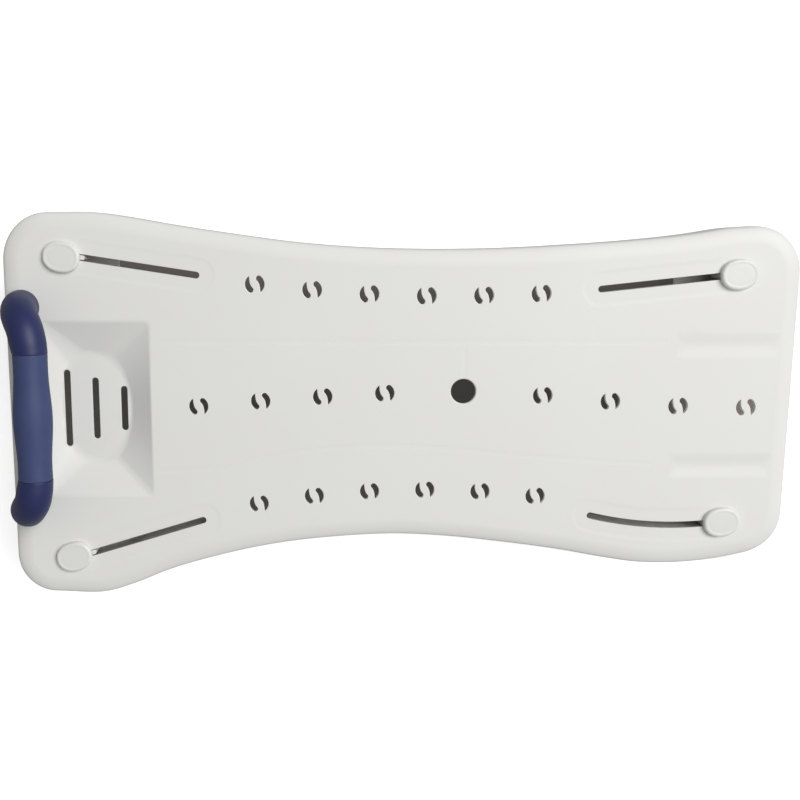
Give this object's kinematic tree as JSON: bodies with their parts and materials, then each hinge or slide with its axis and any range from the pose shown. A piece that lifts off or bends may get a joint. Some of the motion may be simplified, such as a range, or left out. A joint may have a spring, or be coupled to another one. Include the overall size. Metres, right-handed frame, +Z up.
{
  "type": "bath board",
  "caption": "Moulded bath board with a waisted seat, comma drain holes, soap dish, blue grab handle and adjustable rubber-faced stops under curved slots.",
  "frame": {"origin": "middle of the bounding box at the feet of the stop brackets", "axes": "+X along the board from the handle to the far end, +Y towards the top edge of the picture, +Z up out of the seat"},
  "size_m": [0.7, 0.347, 0.1796],
  "materials": {
    "board_plastic": "fine grained white moulding",
    "head_plastic": "smooth ivory white cap",
    "handle_plastic": "satin navy moulding",
    "grip_rubber": "soft slate-blue sleeve",
    "pad_rubber": "matt dark grey rubber",
    "steel": "stainless",
    "wheel_plastic": "satin blue moulding"
  },
  "bodies": {
    "board_body": {"board": "board_plastic", "handle_core": "handle_plastic", "handle_grip": "grip_rubber", "handle_screw_lower": "steel", "handle_screw_upper": "steel", "rim_pad_handle_upper": "pad_rubber", "rim_pad_handle_lower": "pad_rubber", "rim_pad_far_upper": "pad_rubber", "rim_pad_far_lower": "pad_rubber"},
    "stop_carriage_upper_handle": {"stop_head_upper_handle": "head_plastic", "stop_bolt_upper_handle": "steel", "stop_washer_upper_handle": "steel"},
    "stop_bracket_body_upper_handle": {"stop_bracket_upper_handle": "board_plastic", "stop_buffer_upper_handle": "pad_rubber"},
    "stop_wheel_body_upper_handle": {"stop_wheel_upper_handle": "wheel_plastic"},
    "stop_carriage_lower_handle": {"stop_head_lower_handle": "head_plastic", "stop_bolt_lower_handle": "steel", "stop_washer_lower_handle": "steel"},
    "stop_bracket_body_lower_handle": {"stop_bracket_lower_handle": "board_plastic", "stop_buffer_lower_handle": "pad_rubber"},
    "stop_wheel_body_lower_handle": {"stop_wheel_lower_handle": "wheel_plastic"},
    "stop_carriage_upper_far": {"stop_head_upper_far": "head_plastic", "stop_bolt_upper_far": "steel", "stop_washer_upper_far": "steel"},
    "stop_bracket_body_upper_far": {"stop_bracket_upper_far": "board_plastic", "stop_buffer_upper_far": "pad_rubber"},
    "stop_wheel_body_upper_far": {"stop_wheel_upper_far": "wheel_plastic"},
    "stop_carriage_lower_far": {"stop_head_lower_far": "head_plastic", "stop_bolt_lower_far": "steel", "stop_washer_lower_far": "steel"},
    "stop_bracket_body_lower_far": {"stop_bracket_lower_far": "board_plastic", "stop_buffer_lower_far": "pad_rubber"},
    "stop_wheel_body_lower_far": {"stop_wheel_lower_far": "wheel_plastic"}
  },
  "joints": [
    {"name": "stop_travel_upper_handle", "type": "slide", "parent": "board_body", "child": "stop_carriage_upper_handle", "axis": [0.9886, -0.1506, 0], "range_m": [0, 0.1]},
    {"name": "bracket_turn_upper_handle", "type": "hinge", "parent": "stop_carriage_upper_handle", "child": "stop_bracket_body_upper_handle", "pos_m": [-0.296, 0.13594, 0.0843], "axis": [0, 0, 1], "range_deg": [-20, 20]},
    {"name": "wheel_turn_upper_handle", "type": "hinge", "parent": "stop_carriage_upper_handle", "child": "stop_wheel_body_upper_handle", "pos_m": [-0.296, 0.13594, 0.0733], "axis": [0, 0, -1], "range_deg": [0, 720]},
    {"name": "stop_travel_lower_handle", "type": "slide", "parent": "board_body", "child": "stop_carriage_lower_handle", "axis": [0.9568, 0.2906, 0], "range_m": [0, 0.1]},
    {"name": "bracket_turn_lower_handle", "type": "hinge", "parent": "stop_carriage_lower_handle", "child": "stop_bracket_body_lower_handle", "pos_m": [-0.295, -0.13866, 0.0843], "axis": [0, 0, 1], "range_deg": [-20, 20]},
    {"name": "wheel_turn_lower_handle", "type": "hinge", "parent": "stop_carriage_lower_handle", "child": "stop_wheel_body_lower_handle", "pos_m": [-0.295, -0.13866, 0.0733], "axis": [0, 0, -1], "range_deg": [0, 720]},
    {"name": "stop_travel_upper_far", "type": "slide", "parent": "board_body", "child": "stop_carriage_upper_far", "axis": [-0.9942, -0.1073, 0], "range_m": [0, 0.1]},
    {"name": "bracket_turn_upper_far", "type": "hinge", "parent": "stop_carriage_upper_far", "child": "stop_bracket_body_upper_far", "pos_m": [0.2932, 0.11884, 0.0843], "axis": [0, 0, 1], "range_deg": [-20, 20]},
    {"name": "wheel_turn_upper_far", "type": "hinge", "parent": "stop_carriage_upper_far", "child": "stop_wheel_body_upper_far", "pos_m": [0.2932, 0.11884, 0.0733], "axis": [0, 0, -1], "range_deg": [0, 720]},
    {"name": "stop_travel_lower_far", "type": "hinge", "parent": "board_body", "child": "stop_carriage_lower_far", "pos_m": [0.24723, 0.20613, 0.1183], "axis": [0, 0, -1], "range_deg": [0, 18.28]},
    {"name": "bracket_turn_lower_far", "type": "hinge", "parent": "stop_carriage_lower_far", "child": "stop_bracket_body_lower_far", "pos_m": [0.2925, -0.10396, 0.0843], "axis": [0, 0, 1], "range_deg": [-20, 20]},
    {"name": "wheel_turn_lower_far", "type": "hinge", "parent": "stop_carriage_lower_far", "child": "stop_wheel_body_lower_far", "pos_m": [0.2925, -0.10396, 0.0733], "axis": [0, 0, -1], "range_deg": [0, 720]}
  ]
}
